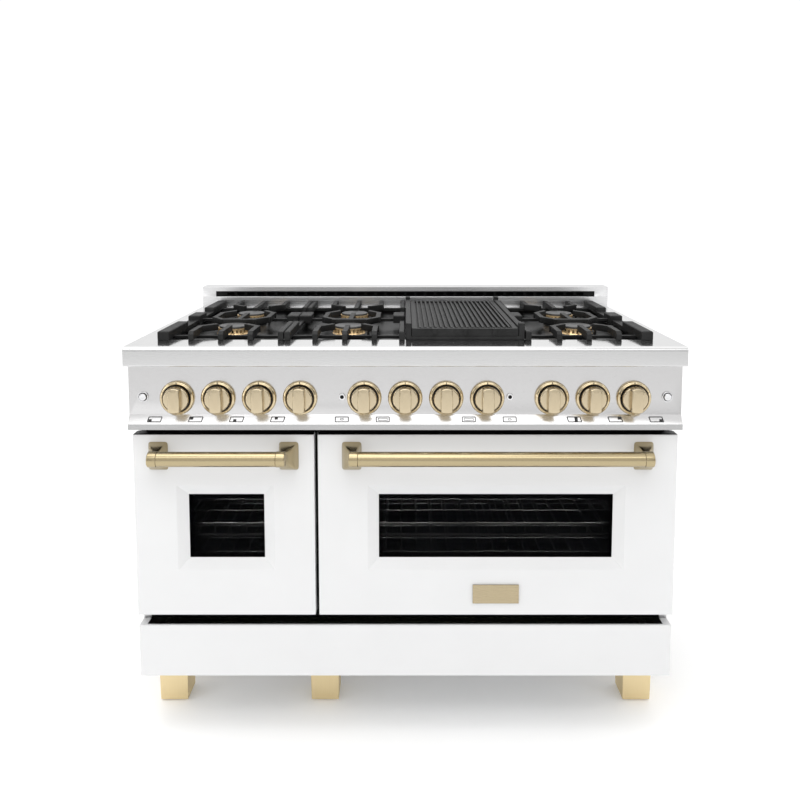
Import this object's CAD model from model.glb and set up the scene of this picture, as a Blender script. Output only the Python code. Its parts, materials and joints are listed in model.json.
# %% [markdown]
# # A freestanding gas range, dressed on its CAD frame
#
# A range of this class is folded sheet steel, cast iron and a little brass. The CAD frame
# already holds every part at its true size, so this lesson is about surfaces: which edges catch
# light, which parts want a rounder mesh than a CAD file gives, and how each finish is mixed
# from nodes.

# %% load the frame
import bmesh
import bpy
import json
import math
from mathutils import Matrix, Vector

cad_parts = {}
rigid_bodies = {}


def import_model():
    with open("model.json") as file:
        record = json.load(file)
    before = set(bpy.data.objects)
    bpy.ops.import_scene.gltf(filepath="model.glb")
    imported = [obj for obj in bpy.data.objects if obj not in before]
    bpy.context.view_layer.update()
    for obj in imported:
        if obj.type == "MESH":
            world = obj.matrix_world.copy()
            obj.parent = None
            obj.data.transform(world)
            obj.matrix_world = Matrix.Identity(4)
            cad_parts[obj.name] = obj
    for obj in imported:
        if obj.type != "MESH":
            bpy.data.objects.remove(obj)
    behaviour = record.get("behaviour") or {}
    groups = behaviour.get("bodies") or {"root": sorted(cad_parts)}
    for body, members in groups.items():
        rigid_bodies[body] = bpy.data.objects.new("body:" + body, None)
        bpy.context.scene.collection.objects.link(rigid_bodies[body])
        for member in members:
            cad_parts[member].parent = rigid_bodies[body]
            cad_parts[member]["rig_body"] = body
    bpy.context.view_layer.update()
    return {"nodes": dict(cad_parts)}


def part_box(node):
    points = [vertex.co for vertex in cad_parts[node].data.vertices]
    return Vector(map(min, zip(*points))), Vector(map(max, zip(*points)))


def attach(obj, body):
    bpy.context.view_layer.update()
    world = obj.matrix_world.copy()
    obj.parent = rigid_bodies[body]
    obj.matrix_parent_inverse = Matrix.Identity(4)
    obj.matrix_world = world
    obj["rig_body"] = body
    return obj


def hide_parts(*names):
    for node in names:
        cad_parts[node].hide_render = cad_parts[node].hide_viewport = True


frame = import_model()

# %% [markdown]
# ## Turning a bmesh into a piece
#
# A bmesh is a mesh under construction. When a shape is ready it becomes an object, takes a
# material, and is told which body it rides on. Shading is smooth except where two faces meet at
# a real corner, which is how turned and pressed metal looks. Everything is in metres, and a
# corner is an angle in degrees.

# %% a finished piece
ROOT = "range_body"
SOFT_CORNER = 35.0


def finish(name, bm, body, material, corner=SOFT_CORNER, recalc=True):
    """Makes a bmesh an object with its finish, on its body."""
    if recalc:
        bmesh.ops.recalc_face_normals(bm, faces=bm.faces)
    mesh = bpy.data.meshes.new(name)
    bm.to_mesh(mesh)
    bm.free()
    mesh.shade_smooth()
    mesh.set_sharp_from_angle(angle=math.radians(corner))
    piece = bpy.data.objects.new(name, mesh)
    bpy.context.scene.collection.objects.link(piece)
    mesh.materials.append(material)
    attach(piece, body)
    return piece


def middle_of(low, high):
    """The middle of a box that is given by two corners."""
    return (low + high) / 2


def block(size, centre):
    """A plain box of a size, round a centre."""
    bm = bmesh.new()
    bmesh.ops.create_cube(bm, size=1.0)
    bmesh.ops.scale(bm, verts=bm.verts, vec=size)
    bmesh.ops.translate(bm, verts=bm.verts, vec=centre)
    return bm


# %% [markdown]
# ## Rounded copies of CAD parts
#
# A CAD mesh has perfectly sharp edges and real castings never do. The way used here is to copy
# the part's mesh, weld its loose triangles, dissolve the flat ones into whole faces, and bevel
# what is left. The copy then stands for the CAD node, which stays in the physics model. Parts
# that need no softer edge keep their own mesh and only get a finish.

# %% copy, weld and bevel
WELD = 0.00002
FLAT = math.radians(1.5)


def welded_copy(node):
    """A copy of a CAD node's mesh with its loose triangles joined."""
    bm = bmesh.new()
    bm.from_mesh(frame["nodes"][node].data)
    bmesh.ops.remove_doubles(bm, verts=bm.verts, dist=WELD)
    return bm


def body_of(node):
    return frame["nodes"][node]["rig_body"]


def rounded(node, material, width, corner=SOFT_CORNER):
    """Stands a copy with bevelled edges in the place of a CAD node."""
    bm = welded_copy(node)
    bmesh.ops.dissolve_limit(bm, angle_limit=FLAT, use_dissolve_boundaries=False,
                             verts=bm.verts, edges=bm.edges, delimit={"NORMAL"})
    piece = finish(node + "_finished", bm, body_of(node), material, corner, False)
    edge = piece.modifiers.new("edge_radius", "BEVEL")
    edge.width = width
    edge.segments = 2
    edge.limit_method = "ANGLE"
    edge.angle_limit = math.radians(corner)
    edge.harden_normals = True
    edge.use_clamp_overlap = True
    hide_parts(node)
    print(node, "rounded", len(piece.data.polygons), "faces")
    return piece


def dress(material, *nodes):
    """Gives CAD nodes that keep their own shape a finish."""
    for node in nodes:
        data = frame["nodes"][node].data
        data.materials.clear()
        data.materials.append(material)


# %% [markdown]
# ## Node materials
#
# Each finish is a Principled shader with a little texture in front of it. Colours and numbers
# that never change sit on the shader itself; only what varies across the surface comes from
# nodes. Patterns are read in object coordinates, in metres, so a grain of half a millimetre
# needs a scale near two thousand. A noise spends most of its surface between 0.3 and 0.7, so
# that middle range is what gets stretched onto the wanted values.

# %% a plain material
def new_material(name, color, metallic, roughness, **sockets):
    """A Principled finish; other sockets are named with underscores for spaces."""
    material = bpy.data.materials.new(name)
    material.use_nodes = True
    shader = material.node_tree.nodes["Principled BSDF"]
    shader.inputs["Base Color"].default_value = (*color, 1.0)
    shader.inputs["Metallic"].default_value = metallic
    shader.inputs["Roughness"].default_value = roughness
    for socket, value in sockets.items():
        shader.inputs[socket.replace("_", " ")].default_value = value
    return material


# %% patterns in object coordinates
def place(material, stretch=(1, 1, 1)):
    """Object coordinates, stretched along the axes to draw a pattern out into lines."""
    tree = material.node_tree
    coords = tree.nodes.new("ShaderNodeTexCoord")
    mapping = tree.nodes.new("ShaderNodeMapping")
    mapping.inputs["Scale"].default_value = stretch
    tree.links.new(coords.outputs["Object"], mapping.inputs["Vector"])
    return mapping.outputs["Vector"]


def noise(material, scale, detail=2.0, stretch=(1, 1, 1)):
    """A cloudy pattern, finer for a larger scale."""
    tree = material.node_tree
    texture = tree.nodes.new("ShaderNodeTexNoise")
    texture.inputs["Scale"].default_value = scale
    texture.inputs["Detail"].default_value = detail
    tree.links.new(place(material, stretch), texture.inputs["Vector"])
    return texture.outputs["Fac"]


# %% what a pattern does to a finish
NOISE_LOW, NOISE_HIGH = 0.3, 0.7


def vary_roughness(material, value, low, high):
    """Maps a pattern's middle range onto a low and a high roughness."""
    tree = material.node_tree
    ranger = tree.nodes.new("ShaderNodeMapRange")
    for socket, number in (("From Min", NOISE_LOW), ("From Max", NOISE_HIGH),
                           ("To Min", low), ("To Max", high)):
        ranger.inputs[socket].default_value = number
    tree.links.new(value, ranger.inputs["Value"])
    shader = tree.nodes["Principled BSDF"]
    tree.links.new(ranger.outputs["Result"], shader.inputs["Roughness"])


def vary_color(material, value, dark, light, start=NOISE_LOW, end=NOISE_HIGH):
    """Maps a pattern's range from start to end onto two colours."""
    tree = material.node_tree
    ramp = tree.nodes.new("ShaderNodeValToRGB")
    ramp.color_ramp.elements[0].position = start
    ramp.color_ramp.elements[1].position = end
    ramp.color_ramp.elements[0].color = (*dark, 1.0)
    ramp.color_ramp.elements[1].color = (*light, 1.0)
    tree.links.new(value, ramp.inputs["Fac"])
    shader = tree.nodes["Principled BSDF"]
    tree.links.new(ramp.outputs["Color"], shader.inputs["Base Color"])


def bump(material, value, strength, distance):
    """Raises a pattern by up to a distance, as far as its strength goes."""
    tree = material.node_tree
    node = tree.nodes.new("ShaderNodeBump")
    node.inputs["Strength"].default_value = strength
    node.inputs["Distance"].default_value = distance
    tree.links.new(value, node.inputs["Height"])
    shader = tree.nodes["Principled BSDF"]
    tree.links.new(node.outputs["Normal"], shader.inputs["Normal"])


# %% [markdown]
# ## The white paint of the doors and the kick panel
#
# Powder coat is sprayed dry and baked, so it keeps a very fine orange peel and no grain. The
# colour hardly changes; a slow noise lifts and lowers it by one part in a hundred.

# %% white powder coat
white_paint = new_material("white_powder_coat", (0.73, 0.73, 0.73), 0.0, 0.42)
vary_color(white_paint, noise(white_paint, 9.0), (0.722, 0.724, 0.727), (0.737, 0.739, 0.742))
vary_roughness(white_paint, noise(white_paint, 160.0), 0.38, 0.48)
bump(white_paint, noise(white_paint, 900.0), 0.08, 0.0004)
print("white paint ready")

# %% [markdown]
# ## Stainless steel and zinc
#
# The cooktop is polished with a faint brushing from left to right and has a satin nose, the
# control panel has a short, fine texture that hides fingerprints and a darker lip, and the
# riser and the sides are plain brushed sheet. One helper stretches a noise into brush lines;
# the finishes differ in how deep and how rough those lines are. The hidden sheets are zinc
# coated, which crystallises into cloudy patches.

# %% brushed and polished steel
LONG_BRUSH = (3.0, 700.0, 700.0)
SHORT_BRUSH = (60.0, 900.0, 900.0)
BRUSH_ALONG_Y = (700.0, 3.0, 700.0)
BRUSH_UPRIGHT = (700.0, 700.0, 4.0)


def brushed(name, color, low, high, depth, stretch=LONG_BRUSH):
    """A metal with brush lines, its roughness between low and high."""
    steel = new_material(name, color, 1.0, (low + high) / 2)
    lines = noise(steel, 1.0, 3.0, stretch)
    vary_roughness(steel, lines, low, high)
    bump(steel, lines, depth, 0.0002)
    return steel


polished_steel = brushed("polished_stainless", (0.82, 0.82, 0.82), 0.09, 0.18, 0.02)
panel_steel = brushed("textured_stainless", (0.57, 0.565, 0.565), 0.18, 0.28, 0.04,
                      SHORT_BRUSH)
satin_steel = brushed("satin_stainless", (0.59, 0.59, 0.59), 0.20, 0.30, 0.04)
lip_steel = brushed("lip_stainless", (0.44, 0.44, 0.44), 0.24, 0.34, 0.04)
riser_steel = brushed("riser_stainless", (0.74, 0.74, 0.745), 0.24, 0.36, 0.06)
side_steel = brushed("side_stainless", (0.56, 0.56, 0.565), 0.28, 0.44, 0.10,
                     BRUSH_ALONG_Y)
chrome = new_material("chrome_button", (0.74, 0.74, 0.75), 1.0, 0.12)
vary_roughness(chrome, noise(chrome, 600.0), 0.08, 0.18)
galvanised = new_material("galvanised_sheet", (0.60, 0.61, 0.62), 1.0, 0.45)
vary_color(galvanised, noise(galvanised, 130.0, 6.0), (0.52, 0.53, 0.54), (0.64, 0.65, 0.66))
vary_roughness(galvanised, noise(galvanised, 90.0, 4.0), 0.35, 0.6)
print("steels ready")

# %% [markdown]
# ## Champagne gold
#
# Knobs, rings, handles and the badge share a champagne plating over brass: spun satin on the
# knobs, polished on the rings, finely brushed on the handles and the badge. The legs are a
# paler, rougher gold. It is a metal, so the colour lives in the reflection; very fine texture
# keeps it from looking like plastic.

# %% champagne gold
champagne = brushed("champagne_gold", (0.43, 0.355, 0.215), 0.20, 0.24, 0.012,
                    (40.0, 900.0, 900.0))
champagne_knob = new_material("champagne_gold_spun", (0.54, 0.455, 0.315), 1.0, 0.24)
vary_roughness(champagne_knob, noise(champagne_knob, 700.0, 3.0), 0.20, 0.28)
bump(champagne_knob, noise(champagne_knob, 1400.0, 2.0), 0.05, 0.0002)
ring_gold = new_material("champagne_gold_polished", (0.60, 0.50, 0.33), 1.0, 0.10)
vary_roughness(ring_gold, noise(ring_gold, 500.0, 2.0), 0.07, 0.13)
badge_gold = brushed("badge_gold", (0.42, 0.35, 0.23), 0.22, 0.34, 0.05, (6.0, 900.0, 900.0))
pale_gold = brushed("pale_gold_leg", (0.80, 0.66, 0.40), 0.40, 0.52, 0.04,
                    BRUSH_UPRIGHT)
print("golds ready")

# %% [markdown]
# ## Black finishes
#
# Cast iron is sand-cast and enamelled matt: rough, with a pebbled skin. The well round the
# burners is black porcelain, and the burner caps wear a greyer enamel. The ovens are a dark
# speckled porcelain. The glass of the doors is nearly black, yet the racks still show faintly
# through it, so its alpha leaves a transparent share.

# %% iron, enamel and glass
cast_iron = new_material("cast_iron", (0.012, 0.012, 0.012), 0.0, 0.5, Specular_IOR_Level=0.30)
vary_color(cast_iron, noise(cast_iron, 45.0, 5.0), (0.007, 0.007, 0.007), (0.017, 0.017, 0.017))
vary_roughness(cast_iron, noise(cast_iron, 300.0, 4.0), 0.42, 0.62)
bump(cast_iron, noise(cast_iron, 700.0, 4.0), 0.35, 0.0006)

black_enamel = new_material("black_porcelain", (0.004, 0.004, 0.004), 0.0, 0.28,
                            Specular_IOR_Level=0.16)
bump(black_enamel, noise(black_enamel, 60.0), 0.02, 0.001)
vent_black = new_material("vent_black", (0.002, 0.002, 0.002), 0.0, 0.9, Specular_IOR_Level=0.0)
cap_enamel = new_material("burner_cap_enamel", (0.055, 0.055, 0.055), 0.0, 0.38)
vary_roughness(cap_enamel, noise(cap_enamel, 500.0, 3.0), 0.32, 0.46)
bump(cap_enamel, noise(cap_enamel, 900.0, 2.0), 0.12, 0.0003)

oven_enamel = new_material("oven_porcelain", (0.010, 0.011, 0.014), 0.0, 0.5,
                           Specular_IOR_Level=0.1)
vary_color(oven_enamel, noise(oven_enamel, 900.0, 1.0), (0.008, 0.009, 0.012),
           (0.10, 0.11, 0.12), 0.60, 0.72)

door_glass = new_material("black_door_glass", (0.0006, 0.0006, 0.0008), 0.0, 0.03, Alpha=0.42,
                          Specular_IOR_Level=0.02)
bump(door_glass, noise(door_glass, 4.0), 0.01, 0.002)
print("blacks ready")

# %% [markdown]
# ## Brass, wire, rope and wool
#
# The burner rings are turned brass and show fine lathe lines; the racks are bright drawn wire.
# The oven seal is a woven fibre rope, the oven lamps are clear glass, and the marks on the
# panel are black ink. The wool round the ovens is never seen from outside, but it still gets
# its own finish for anyone who takes the range apart.

# %% small finishes
burner_brass = new_material("burner_brass", (0.95, 0.68, 0.36), 0.55, 0.34)
vary_roughness(burner_brass, noise(burner_brass, 1.0, 2.0, (20.0, 20.0, 2500.0)), 0.18, 0.36)
rack_wire = new_material("rack_wire", (0.80, 0.80, 0.80), 1.0, 0.2)
vary_roughness(rack_wire, noise(rack_wire, 300.0), 0.10, 0.20)
seal_rope = new_material("oven_seal", (0.030, 0.030, 0.030), 0.0, 0.85, Sheen_Weight=0.3)
bump(seal_rope, noise(seal_rope, 1.0, 1.0, (420.0, 900.0, 420.0)), 0.5, 0.001)
mineral_wool = new_material("mineral_wool", (0.62, 0.56, 0.38), 0.0, 0.95)
vary_color(mineral_wool, noise(mineral_wool, 240.0, 6.0), (0.46, 0.40, 0.25),
           (0.72, 0.66, 0.47))
bump(mineral_wool, noise(mineral_wool, 320.0, 6.0), 0.8, 0.003)
black_plastic = new_material("black_plastic", (0.012, 0.012, 0.012), 0.0, 0.45)
vary_roughness(black_plastic, noise(black_plastic, 400.0), 0.38, 0.52)
lamp_glass = new_material("lamp_glass", (0.95, 0.93, 0.88), 0.0, 0.05, Transmission_Weight=0.9)
bump(lamp_glass, noise(lamp_glass, 120.0), 0.05, 0.0006)
ink = new_material("panel_ink", (0.015, 0.015, 0.015), 0.0, 0.6)
vary_roughness(ink, noise(ink, 600.0), 0.5, 0.7)
print("small finishes ready")

# %% [markdown]
# ## Folded steel: the body, the cooktop and the riser
#
# A press brake leaves a bend about as tight as the sheet is thick. The rounded copies get a
# radius of a millimetre or so, which is enough for a bright line to run along every fold. The
# front faces of the cooktop's nose and of the panel's lip get a second, duller finish. Behind
# the riser's slots stands a black baffle, because a real vent is dark inside.

# %% body panels
NOSE_BELOW = 0.930
LIP_BELOW = 0.7462
FACES_FRONT = -0.7


def face_finish(piece, material, below):
    """Gives the upright front faces under a height a finish of their own."""
    piece.data.materials.append(material)
    for polygon in piece.data.polygons:
        if polygon.normal.y < FACES_FRONT and polygon.center.z < below:
            polygon.material_index = 1


cooktop = rounded("cooktop_panel", polished_steel, 0.0006, corner=40.0)
face_finish(cooktop, satin_steel, NOSE_BELOW)
rounded("back_riser", riser_steel, 0.0012)
panel = rounded("control_panel", panel_steel, 0.0006, corner=20.0)
face_finish(panel, lip_steel, LIP_BELOW)
rounded("side_panels", side_steel, 0.0008)
rounded("kick_panel", white_paint, 0.0010)
rounded("front_frame", black_enamel, 0.0005)
rounded("legs", pale_gold, 0.0012)
dress(galvanised, "base_pan", "back_panel", "gas_pipework", "service_inlets",
      "left_door_hinges", "right_door_hinges")
dress(black_enamel, "burner_well", "riser_grille")

# %% the baffle behind the riser's slots
BAFFLE_THICKNESS = 0.0008
BAFFLE_OFFSET = 0.0006
low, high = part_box("riser_grille")
where = middle_of(low, high)
bm = block((high.x - low.x, BAFFLE_THICKNESS, high.z - low.z),
           (where.x, high.y + BAFFLE_OFFSET, where.z))
finish("riser_vent_baffle", bm, ROOT, vent_black)
print("baffle", round(high.x - low.x, 3), "m wide")

# %% [markdown]
# ## The doors
#
# Each door is a shallow white tray with a window pressed inward: the border slopes to the glass
# and its four mitres catch light differently. The bevel here is small, so the mitres stay
# crisp. Behind the skin sit the dark inner panel and two panes, and a thin black trim covers
# the door's top edge.

# %% the trim on top of a door
TRIM_THICKNESS = 0.0012
TRIM_SIDE_GAP = 0.0024
TRIM_DEPTH_GAP = 0.0014
TRIM_SETBACK = 0.0003
TRIM_EDGE = 0.0003
SIDES = ("left", "right")


def top_trim(side):
    low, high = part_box(side + "_door_skin")
    where = middle_of(low, high)
    size = (high.x - low.x - TRIM_SIDE_GAP, high.y - low.y - TRIM_DEPTH_GAP, TRIM_THICKNESS)
    bm = block(size, (where.x, where.y + TRIM_SETBACK, high.z))
    bmesh.ops.bevel(bm, geom=list(bm.edges), offset=TRIM_EDGE, offset_type="OFFSET",
                    segments=2, profile=0.5, affect="EDGES", material=-1)
    finish(side + "_door_top_trim", bm, side + "_door", black_enamel)
    print(side, "door", round(high.x - low.x, 3), "m wide")


# %% door skins, panels and glass
for side in SIDES:
    rounded(side + "_door_skin", white_paint, 0.0009, corner=12.0)
    rounded(side + "_door_liner", black_enamel, 0.0006)
    dress(door_glass, side + "_door_glass")
    dress(oven_enamel, side + "_oven_liner")
    dress(rack_wire, side + "_rack_upper", side + "_rack_lower")
    top_trim(side)
dress(oven_enamel, "oven_floor_plates")
dress(rack_wire, "rack_guides")
dress(mineral_wool, "oven_insulation")
dress(seal_rope, "door_gaskets")
dress(lamp_glass, "oven_lamps")

# %% [markdown]
# ## Turned parts
#
# Knobs, their rings, lamp rings, collars and handle bars are all turned on a lathe, so they are
# all made the same way here: a few points of the profile, spun right round an axis. The spin
# merges its seam, and the profile closes on the axis where the part is solid.

# %% spin a profile round an axis
def turned(profile, centre, axis="Y", steps=56):
    """profile is (radius, distance along the axis); returns a bmesh round centre."""
    bm = bmesh.new()
    verts = [bm.verts.new((radius, along, 0.0)) for radius, along in profile]
    edges = [bm.edges.new(pair) for pair in zip(verts, verts[1:])]
    bmesh.ops.spin(bm, geom=verts + edges, cent=(0, 0, 0), axis=(0, 1, 0),
                   angle=2 * math.pi, steps=steps, use_merge=True)
    bmesh.ops.remove_doubles(bm, verts=bm.verts, dist=0.000001)
    if axis == "X":
        bmesh.ops.rotate(bm, verts=bm.verts, matrix=Matrix.Rotation(-math.pi / 2, 3, "Z"))
    bmesh.ops.translate(bm, verts=bm.verts, vec=centre)
    return bm


def arc(cx, cy, radius, start, end, count):
    """Points of a profile's rounded corner, angles in degrees."""
    return [(cx + radius * math.cos(math.radians(start + (end - start) * i / count)),
             cy + radius * math.sin(math.radians(start + (end - start) * i / count)))
            for i in range(count + 1)]


# %% [markdown]
# ## Knobs and bezels
#
# A heavy domestic knob: a disc with a soft rim and a deep grip bar across it, standing in a
# polished ring. The grip is a stack of outlines bridged into a skin: straight sides, ends that
# follow the knob's own circle, and a face that swells a millimetre so it catches a gradient.
# The ring has a small printed mark at its top and a black seal inside, which keeps water out
# of the valve and shows as a dark crescent beside the knob.

# %% places on the panel
KNOBS = range(1, 12)
panel_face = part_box("knob_bezels")[1].y


def control_centre(node):
    """Where a control stands on the panel: across and up."""
    where = middle_of(*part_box(node))
    return where.x, where.z


print("panel face at y", round(panel_face, 4))

# %% the ring and its seal
RING_OUTER, RING_INNER, RING_HEIGHT = 0.038, 0.0312, 0.009
RING_SHOULDER, RING_LIP = 0.0054, 0.0014
VALVE_HOLE = 0.0088
SEAL_HOLE = 0.010
MARK_SIZE = (0.0016, 0.0006, 0.0042)
MARK_RADIUS = 0.0342


def bezel(number):
    """The ring round a knob, with its black seal inside and its mark on top."""
    x, z = control_centre("knob_%d" % number)
    profile = [(RING_OUTER, 0.0)]
    profile += arc(RING_OUTER - RING_SHOULDER, -RING_HEIGHT + 0.0062, RING_SHOULDER,
                   0, -90, 9)[:-1]
    profile += arc(RING_INNER + RING_LIP, -RING_HEIGHT + RING_LIP, RING_LIP, -90, -180, 4)
    profile += [(RING_INNER, -0.001), (RING_INNER - 0.0004, -0.0004), (VALVE_HOLE, -0.0004),
                (VALVE_HOLE, 0.0), (RING_OUTER, 0.0)]
    bm = turned(profile, (x, panel_face, z), steps=80)
    ring = finish("knob_ring_%d" % number, bm, ROOT, ring_gold)
    outer, inner = RING_INNER + 0.0012, RING_INNER - 0.0006
    seal = turned([(outer, -0.0004), (outer, -RING_HEIGHT + RING_LIP),
                   (inner, -RING_HEIGHT + 0.0022), (inner, -0.0024), (SEAL_HOLE, -0.0024),
                   (SEAL_HOLE, -0.0004), (outer, -0.0004)], (x, panel_face, z), steps=80)
    finish("knob_seal_%d" % number, seal, ROOT, black_plastic)
    mark = block(MARK_SIZE, (x, panel_face - RING_HEIGHT, z + MARK_RADIUS))
    finish("knob_mark_%d" % number, mark, ROOT, ink)
    return ring


# %% the outline of a grip
GRIP_HALF = 0.0128
GRIP_END_STEPS = 10


def grip_outline(bm, x, z, depth, radius, inset):
    """A knob's bar from the front: straight sides, ends cut by the knob's circle."""
    half, round_end = GRIP_HALF - inset, radius - inset
    reach = math.asin(half / round_end)
    verts = []
    for middle in (math.pi / 2, -math.pi / 2):
        for i in range(GRIP_END_STEPS + 1):
            angle = middle + reach - 2 * reach * i / GRIP_END_STEPS
            verts.append(bm.verts.new((x + round_end * math.cos(angle), depth,
                                       z + round_end * math.sin(angle))))
    return [bm.edges.new(pair) for pair in zip(verts, verts[1:] + verts[:1])]


# %% a knob's grip
DISC_HEIGHT = 0.0135
DISC_RIM = 0.0042
GRIP_ROOT = 0.004
GRIP_ROLL = 0.0030
GRIP_CROWN = 0.0010
GRIP_END_GAP = 0.0006


def grip_mesh(x, z, disc, front, radius):
    """The bar across a knob, bridged from its foot over a rolled edge to its crown."""
    bm = bmesh.new()
    loops = grip_outline(bm, x, z, disc + GRIP_ROOT, radius, 0.0)
    for angle in (0, 22, 45, 68, 90):
        inset = GRIP_ROLL * (1 - math.cos(math.radians(angle)))
        depth = front + GRIP_CROWN + GRIP_ROLL * (1 - math.sin(math.radians(angle)))
        loops += grip_outline(bm, x, z, depth, radius, inset)
    for share in (0.4, 0.7, 0.9):
        inset = GRIP_ROLL + (GRIP_HALF - GRIP_ROLL) * share
        loops += grip_outline(bm, x, z, front + GRIP_CROWN * (1 - share) ** 2, radius, inset)
    bmesh.ops.bridge_loops(bm, edges=loops)
    bmesh.ops.holes_fill(bm, edges=bm.edges, sides=64)
    bmesh.ops.recalc_face_normals(bm, faces=bm.faces)
    mesh = bpy.data.meshes.new("grip")
    bm.to_mesh(mesh)
    bm.free()
    return mesh


# %% a whole knob
def knob(number):
    """A knob of the CAD node's size, turned, with its grip joined to it."""
    node = "knob_%d" % number
    low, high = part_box(node)
    x, z = control_centre(node)
    radius = (high.x - low.x) / 2
    disc = high.y - DISC_HEIGHT
    profile = [(0.0, high.y), (radius - 0.001, high.y), (radius, high.y - 0.001)]
    profile += [(radius - DISC_RIM + DISC_RIM * math.cos(a),
                 disc + DISC_RIM - DISC_RIM * math.sin(a))
                for a in [math.radians(15 * i) for i in range(7)]]
    profile += [(radius - 0.012, disc - 0.0004), (0.0, disc - 0.0006)]
    bm = turned(profile, (x, 0.0, z), steps=72)
    grip = grip_mesh(x, z, disc, low.y, radius - GRIP_END_GAP)
    bm.from_mesh(grip)
    bpy.data.meshes.remove(grip)
    piece = finish(node + "_turned", bm, body_of(node), champagne_knob, 40.0)
    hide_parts(node)


for number in KNOBS:
    bezel(number)
    knob(number)
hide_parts("knob_bezels")

# %% [markdown]
# ## Lamps and push buttons
#
# Two small indicator lamps sit between the knobs, each a bright ring round a dark lens, and a
# push button at each end of the panel works the oven lamps. Both are spun like the knobs. A
# black seal closes the gap between a button and its collar.

# %% profiles of the small controls
LAMP_PROFILE = [(0.0075, 0.0)] + arc(0.0063, -0.0030, 0.0012, 0, -90, 4)
LAMP_PROFILE += [(0.0044, -0.0042), (0.0036, -0.0030), (0.0036, 0.0), (0.0075, 0.0)]
LENS_PROFILE = [(0.0, -0.0036), (0.0034, -0.0026), (0.0034, -0.0002), (0.0, -0.0002)]
COLLAR_PROFILE = [(0.0115, 0.0)] + arc(0.0105, -0.0020, 0.0010, 0, -90, 4)
COLLAR_PROFILE += [(0.0097, -0.0030), (0.0095, -0.0025), (0.0095, 0.0), (0.0115, 0.0)]
SEAL_PROFILE = [(0.0095, -0.0001), (0.0095, -0.0012), (0.0084, -0.0012), (0.0084, -0.0001),
                (0.0095, -0.0001)]

# %% indicator lamps
LAMP_PLACES = (-0.139, 0.230)
control_height = control_centre("lamp_button_left")[1]
for i, x in enumerate(LAMP_PLACES, 1):
    where = (x, panel_face, control_height)
    ring = finish("indicator_ring_%d" % i, turned(LAMP_PROFILE, where, steps=40), ROOT,
                  chrome)
    finish("indicator_lens_%d" % i, turned(LENS_PROFILE, where, steps=32), ROOT,
           black_enamel)
    if i == 1:
        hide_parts("panel_lamps")
print("lamps", len(LAMP_PLACES), "at height", round(control_height, 4))

# %% push buttons
for side in SIDES:
    node = "lamp_button_" + side
    low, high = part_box(node)
    x, z = control_centre(node)
    where = (x, panel_face, z)
    finish("button_seal_" + side, turned(SEAL_PROFILE, where, steps=40), ROOT,
           vent_black)
    finish("button_collar_" + side, turned(COLLAR_PROFILE, where, steps=48), ROOT,
           chrome)
    cap = [(0.0, low.y + 0.0006), (0.004, low.y + 0.0003), (0.0064, low.y + 0.0001)]
    cap += arc(0.0064, low.y + 0.0017, 0.0016, -90, 0, 4) + [(0.0080, high.y), (0.0, high.y)]
    piece = finish(node + "_turned", turned(cap, (x, 0.0, z), steps=48), body_of(node),
                   chrome)
    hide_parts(node)
    print(side, "button stands out", round(panel_face - low.y, 4), "m")

# %% [markdown]
# ## Pictograms on the sloping ledge
#
# Beside each knob a small printed frame shows which burner or oven it serves. The prints here
# are generic: a plain outline with one filled block for the burner or oven it stands for. They
# are thin raised ink, a third of a millimetre proud of the sloping ledge, so they are real
# geometry rather than a picture: flat strokes are drawn first, and one extrusion gives them
# all a thickness.

# %% where the ledge lies
lip_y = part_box("control_panel")[0].y
LEDGE_TOP = Vector((0.0, lip_y + 0.0120, 0.7650))
LEDGE_FOOT = Vector((0.0, lip_y, 0.7460))
LEDGE_RISE = (LEDGE_TOP - LEDGE_FOOT).normalized()
LEDGE_OUT = Vector((0.0, -LEDGE_RISE.z, LEDGE_RISE.y))
INK_HEIGHT = 0.0003
INK_THICKNESS = 0.0002


def on_ledge(x, across, up):
    """A point on the ledge: across is along X, up runs from the foot to the top."""
    middle = middle_of(LEDGE_TOP, LEDGE_FOOT)
    return Vector((x + across, 0.0, 0.0)) + middle + LEDGE_RISE * up + LEDGE_OUT * INK_HEIGHT


print("ledge", round((LEDGE_TOP - LEDGE_FOOT).length, 4), "m deep")

# %% ink strokes
STROKE = 0.0020
THIN_STROKE = STROKE * 0.6


def ink_bar(bm, x, a, b, width):
    """A flat ink stroke between two (across, up) places."""
    length = math.hypot(b[0] - a[0], b[1] - a[1])
    nx, nu = -(b[1] - a[1]) / length * width / 2, (b[0] - a[0]) / length * width / 2
    ends = ((a, 1), (b, 1), (b, -1), (a, -1))
    corners = [on_ledge(x, p[0] + side * nx, p[1] + side * nu) for p, side in ends]
    bm.faces.new([bm.verts.new(corner) for corner in corners])


def ink_outline(bm, x, half_x, half_u, lean, width):
    """Four strokes round a middle, leaning sideways by lean at the top."""
    corners = [(-half_x - lean, -half_u), (half_x - lean, -half_u), (half_x + lean, half_u),
               (-half_x + lean, half_u)]
    for a, b in zip(corners, corners[1:] + corners[:1]):
        ink_bar(bm, x, a, b, width)


# %% printed frames
FRAME_HALF_WIDTH, FRAME_HALF_HEIGHT = 0.0143, 0.0055
FRAME_LEAN = 0.0012
PRINT_SIDE = 0.0495
LAST_PRINT_LEFT_OF_KNOB = 6
LEFT_GROUP, RIGHT_GROUP = (1, 2, 3, 4), (9, 10, 11)
MM = 0.001
# one block (across, up, width, height) for each knob, in millimetres
FILLED = ((-10, -2, 7, 5), (-9, 2, 7, 5), (-4, -2, 7, 5), (-3, 2, 7, 5), (0, 2, 7, 3),
          (0, 0, 20, 5), (0, 0, 20, 5), (0, 2, 7, 3), (4, 0, 7, 11), (9, 2, 7, 5),
          (10, -2, 7, 5))


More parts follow.
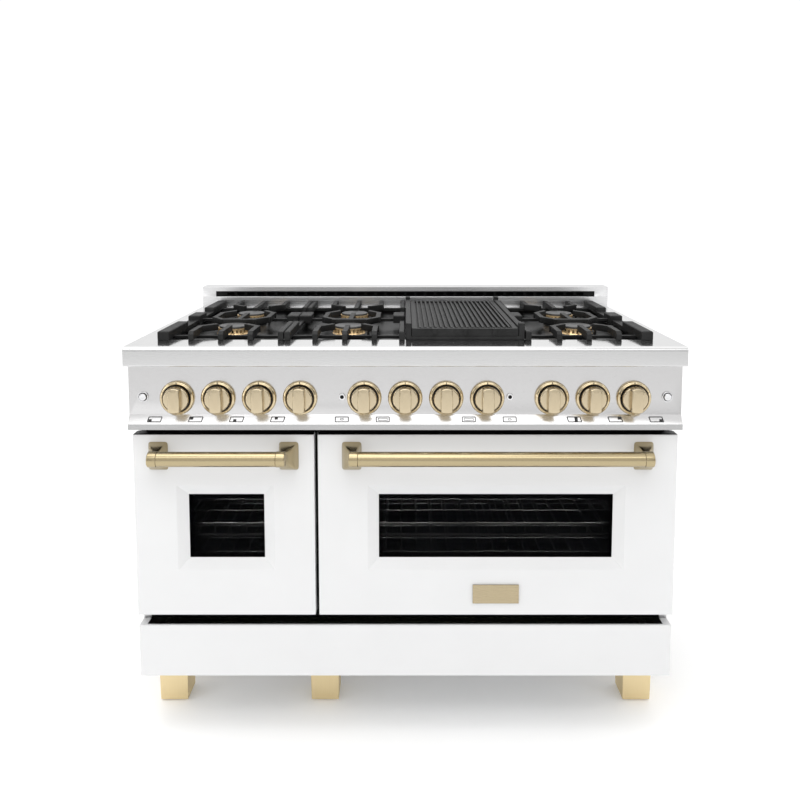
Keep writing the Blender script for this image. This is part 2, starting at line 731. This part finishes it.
def printed_frame(number, x, filled, lean):
    """The frame of one knob; a block much wider than high is drawn as an outline."""
    bm = bmesh.new()
    ink_outline(bm, x, FRAME_HALF_WIDTH, FRAME_HALF_HEIGHT, lean, STROKE)
    across, up, width, height = (value * MM for value in filled)
    if width > 2 * height:
        ink_outline(bm, x, width / 2, height / 2, 0.0, THIN_STROKE)
    else:
        ink_bar(bm, x, (across - width / 2, up), (across + width / 2, up), height)
    raised = bmesh.ops.extrude_face_region(bm, geom=list(bm.faces), use_keep_orig=True)
    bmesh.ops.translate(bm, vec=-INK_THICKNESS * LEDGE_OUT,
                        verts=[v for v in raised["geom"] if isinstance(v, bmesh.types.BMVert)])
    finish("printed_frame_%d" % number, bm, ROOT, ink)


for number in KNOBS:
    x = control_centre("knob_%d" % number)[0]
    side = -1 if number <= LAST_PRINT_LEFT_OF_KNOB else 1
    lean = 0.0
    if number in LEFT_GROUP:
        lean = FRAME_LEAN
    elif number in RIGHT_GROUP:
        lean = -FRAME_LEAN
    printed_frame(number, x + side * PRINT_SIDE, FILLED[number - 1], lean)
print("prints", len(FILLED))

# %% [markdown]
# ## Door handles
#
# A round bar held by two flared posts. Each post grows out of the door as a rounded rectangle
# and shrinks in a curve to the round cap that grips the bar. It is lofted: a row of outlines,
# each a superellipse a little rounder than the last, joined with bridge_loops. The caps and
# the bar are turned.

# %% sizes of a handle
BAR_HEIGHT = 0.682
BAR_RADIUS = 0.0160
CAP_RADIUS, CAP_LENGTH, CAP_TIP = 0.0168, 0.0195, 0.0022
CAP_INSET = 0.020
BAR_GAP = 0.0002
SMALL_EDGE = 0.0006
POST_HALF_WIDTH, POST_HALF_HEIGHT, POST_DROP = 0.022, 0.032, 0.0126
POST_NECK_HALF = 0.0135
POST_REACH = 0.9
FLARE, FLARE_END = 0.0016, 0.12
POST_STEPS = 12
SQUARE_POWER, ROUND_POWER = 9.0, 2.6


# %% a post by bridging outlines
OUTLINE_POINTS = 32


def outline(bm, centre, half_x, half_z, power):
    """A superellipse: a larger power makes it squarer."""
    verts = []
    for i in range(OUTLINE_POINTS):
        angle = 2 * math.pi * i / OUTLINE_POINTS
        c, s = math.cos(angle), math.sin(angle)
        px = math.copysign(abs(c) ** (2 / power), c) * half_x
        pz = math.copysign(abs(s) ** (2 / power), s) * half_z
        verts.append(bm.verts.new(centre + Vector((px, 0.0, pz))))
    return [bm.edges.new(pair) for pair in zip(verts, verts[1:] + verts[:1])]


def post_mesh(foot, neck):
    """A post from its foot on the door to just short of its neck inside the cap."""
    bm = bmesh.new()
    loops = []
    for i in range(POST_STEPS + 1):
        t = i / POST_STEPS
        ease = t * t * (3 - 2 * t)
        half_x = POST_HALF_WIDTH * (1 - ease) + (CAP_LENGTH / 2 - SMALL_EDGE) * ease
        half_z = POST_HALF_HEIGHT * (1 - ease) + POST_NECK_HALF * ease
        flare = FLARE * max(0.0, 1 - t / FLARE_END) - FLARE
        where = Vector((foot.x + (neck.x - foot.x) * ease,
                        foot.y + (neck.y - foot.y) * t * POST_REACH,
                        foot.z + (neck.z - foot.z) * ease))
        loops += outline(bm, where, half_x + flare, half_z + flare,
                         SQUARE_POWER - (SQUARE_POWER - ROUND_POWER) * ease)
    bmesh.ops.bridge_loops(bm, edges=loops)
    bmesh.ops.holes_fill(bm, edges=bm.edges, sides=64)
    return bm


# %% caps and bars
def cap_profile(way):
    """A cap with a rounded outer end, which points to way along X."""
    profile = [(0.0, 0.0), (CAP_RADIUS - CAP_TIP, 0.0)]
    profile += [(CAP_RADIUS - CAP_TIP + CAP_TIP * math.sin(math.radians(15 * i)),
                 CAP_TIP - CAP_TIP * math.cos(math.radians(15 * i))) for i in range(1, 7)]
    profile += [(CAP_RADIUS, CAP_LENGTH - SMALL_EDGE), (CAP_RADIUS - SMALL_EDGE, CAP_LENGTH),
                (0.0, CAP_LENGTH)]
    return [(radius, -way * along) for radius, along in profile]


def bar_profile(length):
    return [(0.0, 0.0), (BAR_RADIUS - SMALL_EDGE, 0.0), (BAR_RADIUS, SMALL_EDGE),
            (BAR_RADIUS, length / 2), (BAR_RADIUS, length - SMALL_EDGE),
            (BAR_RADIUS - SMALL_EDGE, length), (0.0, length)]


# %% both handles
def handle(side):
    """Two posts, two caps and a bar for one door."""
    node = side + "_door_handle"
    body = side + "_door"
    low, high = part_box(node)
    bar_y = low.y + CAP_RADIUS
    for letter, way, edge in (("a", -1, low.x), ("b", 1, high.x)):
        cap_end = edge - way * CAP_INSET
        foot = Vector((edge - way * POST_HALF_WIDTH, high.y, BAR_HEIGHT - POST_DROP))
        neck = Vector((cap_end - way * CAP_LENGTH / 2, bar_y, BAR_HEIGHT))
        finish("%s_handle_post_%s" % (side, letter), post_mesh(foot, neck), body,
               champagne, 50.0)
        cap = turned(cap_profile(way), (cap_end, bar_y, BAR_HEIGHT), axis="X")
        finish("%s_handle_cap_%s" % (side, letter), cap, body, champagne)
    left = low.x + CAP_INSET + CAP_LENGTH + BAR_GAP
    right = high.x - CAP_INSET - CAP_LENGTH - BAR_GAP
    bm = turned(bar_profile(right - left), (left, bar_y, BAR_HEIGHT), axis="X")
    bar = finish(side + "_handle_bar", bm, body, champagne)
    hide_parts(node)
    print(side, "handle", round(right - left, 3), "m bar")


for side in SIDES:
    handle(side)

# %% [markdown]
# ## The badge plate
#
# A real range carries its maker's name here. This one stays blank: a bevelled gold plate with
# a raised rim, which keeps the door's look without anyone's mark. The front face is inset, and
# the inner face is pushed back to leave the rim.

# %% blank badge
BADGE_RIM, BADGE_SINK, BADGE_EDGE = 0.0030, 0.0008, 0.0007
LONG_EDGE = 0.02
low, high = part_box("badge_plate")
bm = block(high - low, middle_of(low, high))
face = min(bm.faces, key=lambda f: f.calc_center_median().y)
bmesh.ops.inset_region(bm, faces=[face], thickness=BADGE_RIM, depth=0.0)
face = min(bm.faces, key=lambda f: (round(f.calc_center_median().y, 6), -f.calc_area()))
bmesh.ops.translate(bm, verts=face.verts, vec=(0.0, BADGE_SINK, 0.0))
bmesh.ops.bevel(bm, geom=[e for e in bm.edges if e.calc_length() > LONG_EDGE],
                offset=BADGE_EDGE, offset_type="OFFSET", segments=3, profile=0.5,
                affect="EDGES", material=-1)
badge = finish("badge_blank", bm, "right_door", badge_gold)
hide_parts("badge_plate")
print("badge", round(high.x - low.x, 3), "m wide")

# %% [markdown]
# ## Grates, griddle and burners
#
# The castings keep their CAD shapes with softened edges: a sand mould cannot hold a sharp
# corner. A burner is a brass ring on a dark base under a flat enamel lid. Ring and base are
# one mesh with two materials, told apart by height, so the mesh stays closed.

# %% castings
CAST_EDGE = 0.0014
for node in ("grate_left", "grate_middle", "grate_right", "griddle_grate"):
    rounded(node, cast_iron, CAST_EDGE)
rounded("griddle_plate", cast_iron, 0.0012)

# %% burners
RING_HEIGHT_OF_BURNER = 0.0142
ring_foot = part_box("burner_heads")[1].z - RING_HEIGHT_OF_BURNER
burners = finish("burner_castings", welded_copy("burner_heads"), ROOT,
                 burner_brass, recalc=False)
burners.data.materials.append(cap_enamel)
for polygon in burners.data.polygons:
    if min(burners.data.vertices[i].co.z for i in polygon.vertices) <= ring_foot:
        polygon.material_index = 1
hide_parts("burner_heads")
dress(burner_brass, "gas_valves")
rounded("burner_caps", cap_enamel, 0.0010, corner=30.0)
dress(galvanised, "tube_burners")
dress(black_plastic, "spark_ignition")
print("burner rings start at height", round(ring_foot, 4))

# %% [markdown]
# ## Floor, light and camera
#
# The range stands on a plain pale floor under soft studio light: a broad lamp overhead, a long
# box in front that lights the ledge and the doors, a tall one at each side, and a room for the
# metal to reflect. The floor glows very slightly, so it stays as pale as the backdrop.

# %% stage
FLOOR_HALF = 80.0
floor = bmesh.new()
bmesh.ops.create_grid(floor, x_segments=1, y_segments=1, size=FLOOR_HALF)
floor_mesh = bpy.data.meshes.new("studio_floor")
floor.to_mesh(floor_mesh)
floor.free()
studio_floor = bpy.data.objects.new("studio_floor", floor_mesh)
bpy.context.scene.collection.objects.link(studio_floor)
floor_paint = new_material("studio_floor", (0.96, 0.96, 0.96), 0.0, 0.9, Specular_IOR_Level=0.0,
                           Emission_Color=(1.0, 1.0, 1.0, 1.0), Emission_Strength=0.10)
floor_mesh.materials.append(floor_paint)
print("floor", 2 * FLOOR_HALF, "m across")

# %% [markdown]
# ### A world with soft dark sides
#
# Metal shows what is round it, so a plain white world makes it look like paper. This one is
# white to the camera, while reflections see a room: bright in front and overhead, with a dark
# wall to the left and right that lifts again at the very side. One ramp reads how far sideways
# a ray goes and makes the walls, a second reads how far up it goes, and a mix lets the ceiling
# take over there.

# %% world
WORLD_STRENGTH = 1.05
WALL_STOPS = ((0.0, 0.92), (0.34, 0.84), (0.52, 0.16), (0.84, 0.05), (1.0, 0.45))
CEILING_STOPS = ((0.22, 0.0), (0.60, 1.0))
CEILING_LEVEL = 1.10
world = bpy.data.worlds.new("studio")
bpy.context.scene.world = world
world.use_nodes = True
tree = world.node_tree
seen_by_camera = tree.nodes["Background"]
seen_by_camera.inputs["Color"].default_value = (1.0, 1.0, 1.0, 1.0)
seen_by_camera.inputs["Strength"].default_value = WORLD_STRENGTH
room = tree.nodes.new("ShaderNodeBackground")
room.inputs["Strength"].default_value = WORLD_STRENGTH
direction = tree.nodes.new("ShaderNodeTexCoord")
axes = tree.nodes.new("ShaderNodeSeparateXYZ")
sideways = tree.nodes.new("ShaderNodeMath")
sideways.operation = "ABSOLUTE"
tree.links.new(direction.outputs["Generated"], axes.inputs["Vector"])
tree.links.new(axes.outputs["X"], sideways.inputs[0])


def grey_ramp(value, levels):
    """Turns a direction's coordinate into a grey level by a few (position, level) stops."""
    ramp = tree.nodes.new("ShaderNodeValToRGB")
    stops = ramp.color_ramp.elements
    while len(stops) < len(levels):
        stops.new(0.5)
    for stop, (position, level) in zip(stops, levels):
        stop.position = position
        stop.color = (level, level, level, 1.0)
    tree.links.new(value, ramp.inputs["Fac"])
    return ramp.outputs["Color"]


# %% walls, ceiling and what the camera sees
MIX_FACTOR, MIX_A, MIX_B, MIX_RESULT = 0, 6, 7, 2
walls = grey_ramp(sideways.outputs["Value"], WALL_STOPS)
height = grey_ramp(axes.outputs["Z"], CEILING_STOPS)
ceiling = tree.nodes.new("ShaderNodeMix")
ceiling.data_type = "RGBA"
ceiling.inputs[MIX_B].default_value = (CEILING_LEVEL, CEILING_LEVEL, CEILING_LEVEL, 1.0)
tree.links.new(height, ceiling.inputs[MIX_FACTOR])
tree.links.new(walls, ceiling.inputs[MIX_A])
tree.links.new(ceiling.outputs[MIX_RESULT], room.inputs["Color"])
eye = tree.nodes.new("ShaderNodeLightPath")
choose = tree.nodes.new("ShaderNodeMixShader")
tree.links.new(eye.outputs["Is Camera Ray"], choose.inputs["Fac"])
tree.links.new(room.outputs["Background"], choose.inputs[1])
tree.links.new(seen_by_camera.outputs["Background"], choose.inputs[2])
tree.links.new(choose.outputs["Shader"], tree.nodes["World Output"].inputs["Surface"])
bpy.context.scene.view_settings.view_transform = "Standard"
print("world nodes", len(tree.nodes))

# %% [markdown]
# ### Soft lamps
#
# Area lamps give soft edges, and a metal shows them as long pale shapes. Each one is placed
# and then turned to face a point on the range. Inside each oven hangs a dim strip, so the
# rack wires glint behind the dark glass.

# %% lamps of the studio
def soft_light(name, where, aim, width, height, power):
    """A rectangular lamp that faces a point; the power is in watts."""
    lamp = bpy.data.lights.new(name, "AREA")
    lamp.shape = "RECTANGLE"
    lamp.size = width
    lamp.size_y = height
    lamp.energy = power
    holder = bpy.data.objects.new(name, lamp)
    holder.location = where
    holder.rotation_euler = (Vector(aim) - Vector(where)).to_track_quat("-Z", "Y").to_euler()
    bpy.context.scene.collection.objects.link(holder)


BODY_MIDDLE = (0.0, 0.0, 0.6)
LEDGE_MIDDLE = (0.0, -0.3, 0.76)
soft_light("key_overhead", (-0.5, -0.9, 3.4), BODY_MIDDLE, 2.6, 1.6, 24)
soft_light("front_box", (0.0, -2.4, 3.05), LEDGE_MIDDLE, 3.6, 0.7, 12.5)
soft_light("left_wall", (-3.0, -2.0, 1.4), BODY_MIDDLE, 0.7, 2.2, 14)
soft_light("right_wall", (3.0, -1.8, 1.5), BODY_MIDDLE, 0.5, 2.2, 8)

# %% strips in the ovens
STRIP_DEPTH = 0.015
STRIP_WATTS_PER_METRE = 1.6


def oven_light(side, length):
    """A strip at the top front of an oven, facing the lower rack."""
    low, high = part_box(side + "_oven_liner")
    x = middle_of(low, high).x
    soft_light(side + "_oven_strip", (x, low.y + 0.045, high.z - 0.035),
               (x, low.y + 0.25, low.z + 0.09), length, STRIP_DEPTH,
               length * STRIP_WATTS_PER_METRE)


oven_light("left", 0.22)
oven_light("right", 0.60)
print("lamps", len(bpy.data.lights))

# %% [markdown]
# ### The camera
#
# The range is seen from close by, a third of a metre above the cooktop, with a moderately wide
# lens. A level camera with a large vertical shift keeps every upright parallel, but the shift
# stays when the camera walks round the range and pushes it out of the picture. So the camera
# looks five degrees down and keeps only a small shift: the uprights lean in by a few parts in
# a hundred.

# %% camera
CAMERA_DISTANCE = 1.624
CAMERA_ABOVE_COOKTOP = 0.304
CAMERA_TILT = 5.0
FOCAL_LENGTH, SENSOR_WIDTH = 34.5, 36.0
SHIFT_ACROSS, SHIFT_UP = -0.0066, -0.16
nose_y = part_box("cooktop_panel")[0].y
cooktop_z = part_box("cooktop_panel")[1].z
lens = bpy.data.cameras.new("camera")
lens.lens = FOCAL_LENGTH
lens.sensor_width = SENSOR_WIDTH
lens.shift_x = SHIFT_ACROSS
lens.shift_y = SHIFT_UP
camera = bpy.data.objects.new("camera", lens)
camera.location = (0.0, nose_y - CAMERA_DISTANCE, cooktop_z + CAMERA_ABOVE_COOKTOP)
camera.rotation_euler = (math.radians(90.0 - CAMERA_TILT), 0.0, 0.0)
bpy.context.scene.collection.objects.link(camera)
bpy.context.scene.camera = camera
print("camera at", tuple(round(v, 3) for v in camera.location))
